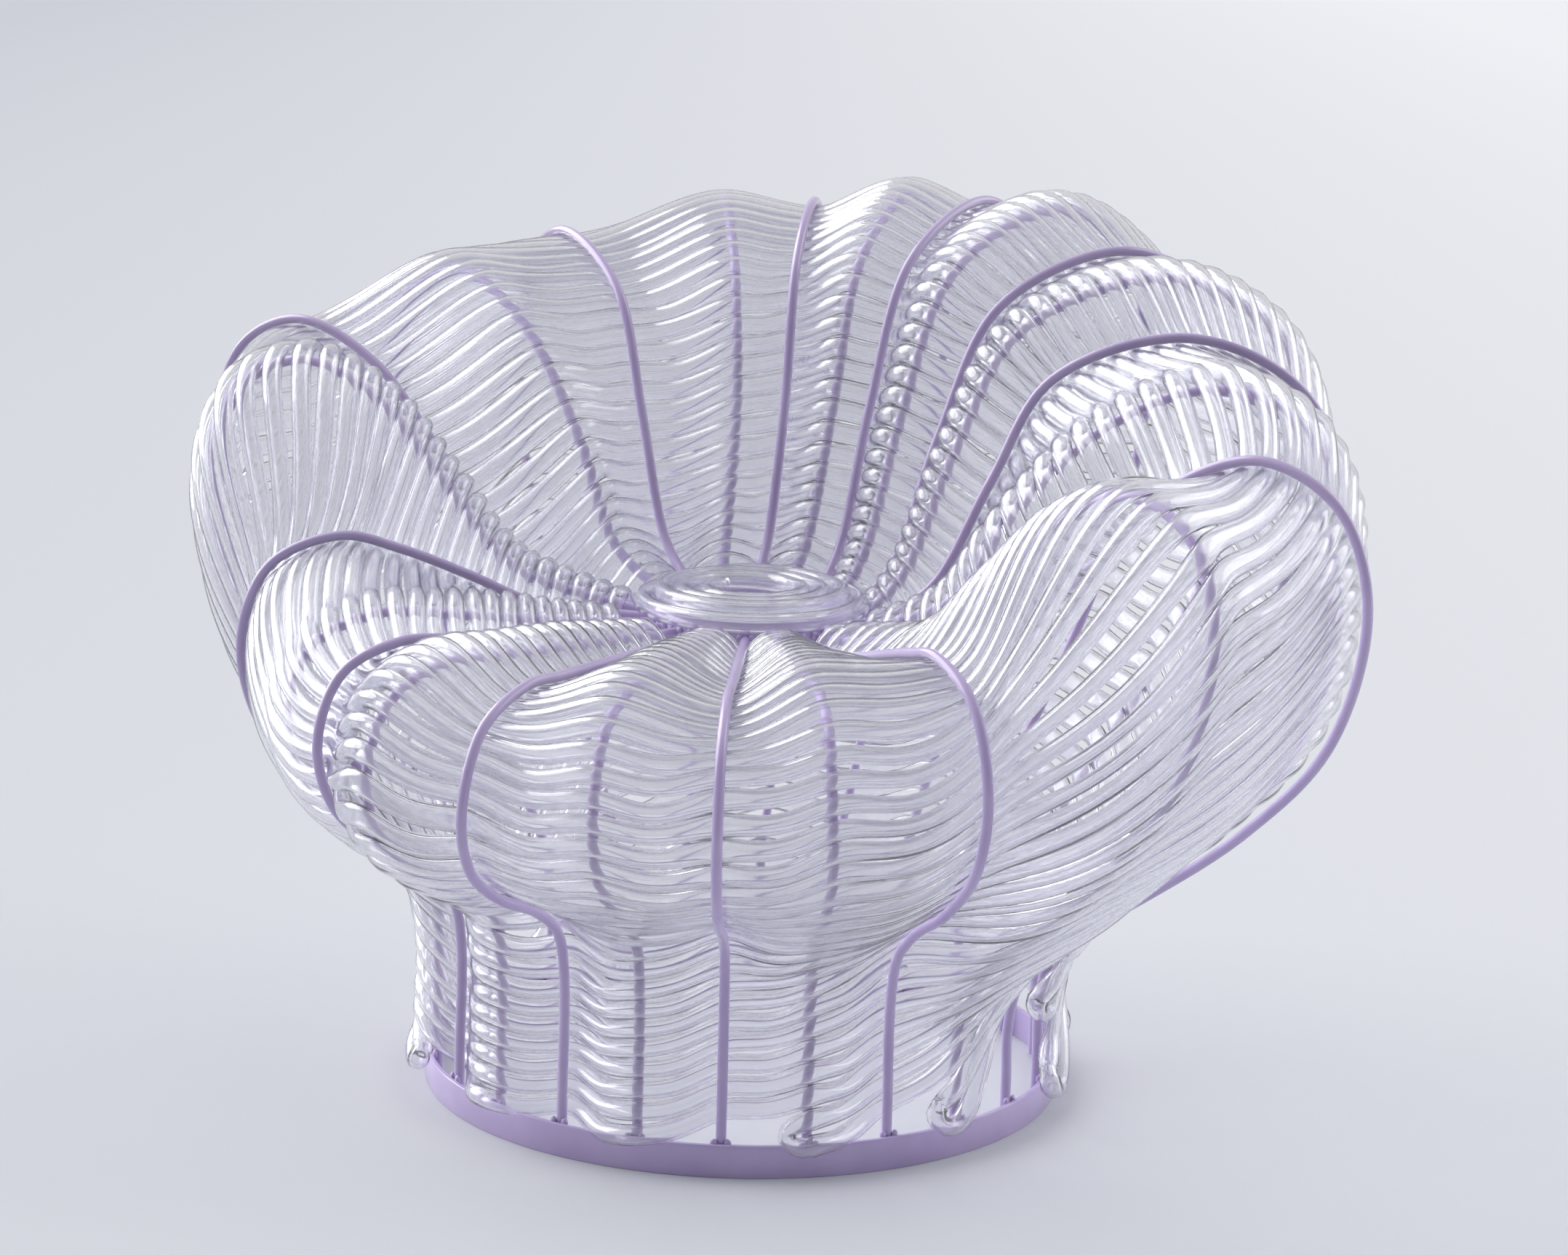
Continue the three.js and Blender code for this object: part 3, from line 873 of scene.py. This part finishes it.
def add_node(owner, kind, settings=None, inputs=None, links=None):
    node = owner.node_tree.nodes.new(kind)
    for name, value in (settings or {}).items():
        setattr(node, name, value)
    for name, value in (inputs or {}).items():
        node.inputs[name].default_value = value
    for name, socket in (links or {}).items():
        owner.node_tree.links.new(socket, node.inputs[name])
    return node


def add_ramp(owner, share, start, end):
    ramp = add_node(owner, "ShaderNodeValToRGB", links={"Fac": share})
    for element, (position, hex_value) in zip(ramp.color_ramp.elements, (start, end)):
        element.position, element.color = position, colour(hex_value)
    return ramp.outputs["Color"]


def new_material(name):
    material = bpy.data.materials.new(name)
    material.use_nodes = True
    material.node_tree.nodes.clear()
    return material


def wear(pieces, material):
    for piece in pieces:
        piece.data.materials.clear()
        piece.data.materials.append(material)


# %% [markdown]
# The hose is clear plasticised PVC, extruded and cooled in water, so both of its skins are glossy. It bends
# light like glass of index 1.53, with a very faint lavender cast that is stronger at its edges. The die
# leaves faint streaks along it. Lamp light passes straight through it, as it mostly does through thin clear
# vinyl, which keeps the inside of the chair bright.

# %% Clear vinyl hose
streak_width, streak_length = 0.003, 0.4
hose_girth = 2 * math.pi * hose_radius * MM


def clear_vinyl():
    material = new_material("clear_extruded_pvc_hose")
    flat = add_node(material, "ShaderNodeUVMap", {"uv_map": flat_map})
    drawn = add_node(material, "ShaderNodeMapping", inputs={
        "Scale": (hose_girth / streak_width, 1 / streak_length, 1.0),
    }, links={"Vector": flat.outputs["UV"]})
    streaks = add_node(material, "ShaderNodeTexNoise", inputs={"Scale": 1.0, "Detail": 2.0},
                       links={"Vector": drawn.outputs["Vector"]})
    bump = add_node(material, "ShaderNodeBump", inputs={"Strength": 0.12, "Distance": 0.0002},
                    links={"Height": streaks.outputs["Fac"]})
    edge = add_node(material, "ShaderNodeLayerWeight", inputs={"Blend": 0.5})
    tint = add_ramp(material, edge.outputs["Facing"], (0.5, "FAFAFC"), (1.0, "CECEE8"))
    body = add_node(material, "ShaderNodeBsdfPrincipled", inputs={
        "Roughness": 0.06, "IOR": 1.53, "Transmission Weight": 0.97,
    }, links={"Base Color": tint, "Normal": bump.outputs["Normal"]})
    clear = add_node(material, "ShaderNodeBsdfTransparent", inputs={"Color": colour("FCFCFD")})
    ray = add_node(material, "ShaderNodeLightPath")
    skin = add_node(material, "ShaderNodeMixShader", links={"Fac": ray.outputs["Is Shadow Ray"]})
    material.node_tree.links.new(body.outputs["BSDF"], skin.inputs[1])
    material.node_tree.links.new(clear.outputs["BSDF"], skin.inputs[2])
    add_node(material, "ShaderNodeOutputMaterial", links={"Surface": skin.outputs["Shader"]})
    return material


wear([*hose_pieces, coil], clear_vinyl())
print("Clear vinyl on", len(hose_pieces) + 1, "pieces")

# %% [markdown]
# The steel is powder coated in satin lavender. The powder melts to an even skin with a slight orange peel.

# %% Lavender powder coat


def powder_coat():
    material = new_material("lavender_powder_coated_steel")
    place = add_node(material, "ShaderNodeTexCoord")
    peel = add_node(material, "ShaderNodeTexNoise", inputs={"Scale": 900.0, "Detail": 2.0},
                    links={"Vector": place.outputs["Object"]})
    bump = add_node(material, "ShaderNodeBump", inputs={"Strength": 0.12, "Distance": 0.0002},
                    links={"Height": peel.outputs["Fac"]})
    tone = add_node(material, "ShaderNodeTexNoise", inputs={"Scale": 14.0, "Detail": 3.0},
                    links={"Vector": place.outputs["Object"]})
    paint = add_ramp(material, tone.outputs["Fac"], (0.35, "B7A5D1"), (0.65, "C3B2DB"))
    body = add_node(material, "ShaderNodeBsdfPrincipled", inputs={
        "Roughness": 0.28, "Coat Weight": 0.6, "Coat Roughness": 0.15,
    }, links={"Base Color": paint, "Normal": bump.outputs["Normal"]})
    add_node(material, "ShaderNodeOutputMaterial", links={"Surface": body.outputs["BSDF"]})
    return material


wear(steel_pieces, powder_coat())
print("Powder coat on", len(steel_pieces), "pieces")

# %% [markdown]
# The floor is a pale studio floor that runs far back, so that no horizon shows. It is a little darker on the
# left, as in the photo: that is painted shade in the floor's colour, standing in for light that falls
# unevenly.
# Pale walls give most of the light, brightest above the left of the back, and two broad lamps stand far off,
# the stronger one on the left.

# %% Studio floor and light
floor_size = 60
painted_floor_shade_reach = 4.0
lamp_distance = 4
light_bounces = 24
wall_strength, brightest_wall = 0.71, (-138, 30)
lamps = [("key_light", -88, 30, 56, 2.6), ("rim_light", 142, 28, 52, 1.1)]


def make_floor():
    bm = bmesh.new()
    bmesh.ops.create_grid(bm, x_segments=1, y_segments=1, size=floor_size / 2)
    floor = add_object("studio_floor", bm)
    material = new_material("matt_studio_floor")
    place = add_node(material, "ShaderNodeTexCoord")
    # Painted shade: the floor's colour runs from darker on the left to paler on the right across the view, for
    # uneven light.
    across = add_node(material, "ShaderNodeVectorMath", {"operation": "DOT_PRODUCT"},
                      links={"Vector": place.outputs["Object"]})
    across.inputs[1].default_value = (math.cos(camera_azimuth), math.sin(camera_azimuth), 0)
    share = add_node(material, "ShaderNodeMapRange", inputs={
        "From Min": -painted_floor_shade_reach, "From Max": painted_floor_shade_reach,
    }, links={"Value": across.outputs["Value"]})
    pale_with_painted_shade = add_ramp(material, share.outputs["Result"], (0.0, "B9BCC3"), (1.0, "E0E2E5"))
    body = add_node(material, "ShaderNodeBsdfPrincipled", inputs={"Roughness": 0.8},
                    links={"Base Color": pale_with_painted_shade})
    add_node(material, "ShaderNodeOutputMaterial", links={"Surface": body.outputs["BSDF"]})
    wear([floor], material)


def light_way(azimuth, elevation):
    angle, height = math.radians(azimuth), math.radians(elevation)
    return Vector((math.sin(angle) * math.cos(height), -math.cos(angle) * math.cos(height), math.sin(height)))


def add_far_light(name, azimuth, elevation, spread, strength):
    way = light_way(azimuth, elevation)
    data = bpy.data.lights.new(name, "SUN")
    data.energy, data.angle = strength, math.radians(spread)
    lamp = bpy.data.objects.new(name, data)
    lamp.location = way * lamp_distance
    lamp.rotation_euler = way.to_track_quat("Z", "Y").to_euler()
    bpy.context.collection.objects.link(lamp)


def make_sky():
    world = bpy.data.worlds.new("studio_walls")
    bpy.context.scene.world = world
    world.use_nodes = True
    world.node_tree.nodes.clear()
    way = add_node(world, "ShaderNodeTexCoord")
    side = add_node(world, "ShaderNodeVectorMath", {"operation": "DOT_PRODUCT"},
                    links={"Vector": way.outputs["Generated"]})
    side.inputs[1].default_value = light_way(*brightest_wall)
    tone = add_node(world, "ShaderNodeMapRange", inputs={"From Min": -1.0},
                    links={"Value": side.outputs["Value"]})
    walls = add_ramp(world, tone.outputs["Result"], (0.15, "85878F"), (0.75, "F9F9FC"))
    back = add_node(world, "ShaderNodeBackground", inputs={"Strength": wall_strength}, links={"Color": walls})
    add_node(world, "ShaderNodeOutputWorld", links={"Surface": back.outputs["Background"]})


make_floor()
make_sky()
for lamp in lamps:
    add_far_light(*lamp)
bpy.context.scene.view_settings.view_transform = "Standard"
bpy.context.scene.cycles.max_bounces = light_bounces
bpy.context.scene.cycles.transmission_bounces = light_bounces
bpy.context.scene.cycles.transparent_max_bounces = 2 * light_bounces
print("Floor, walls and", len(lamps), "lamps")
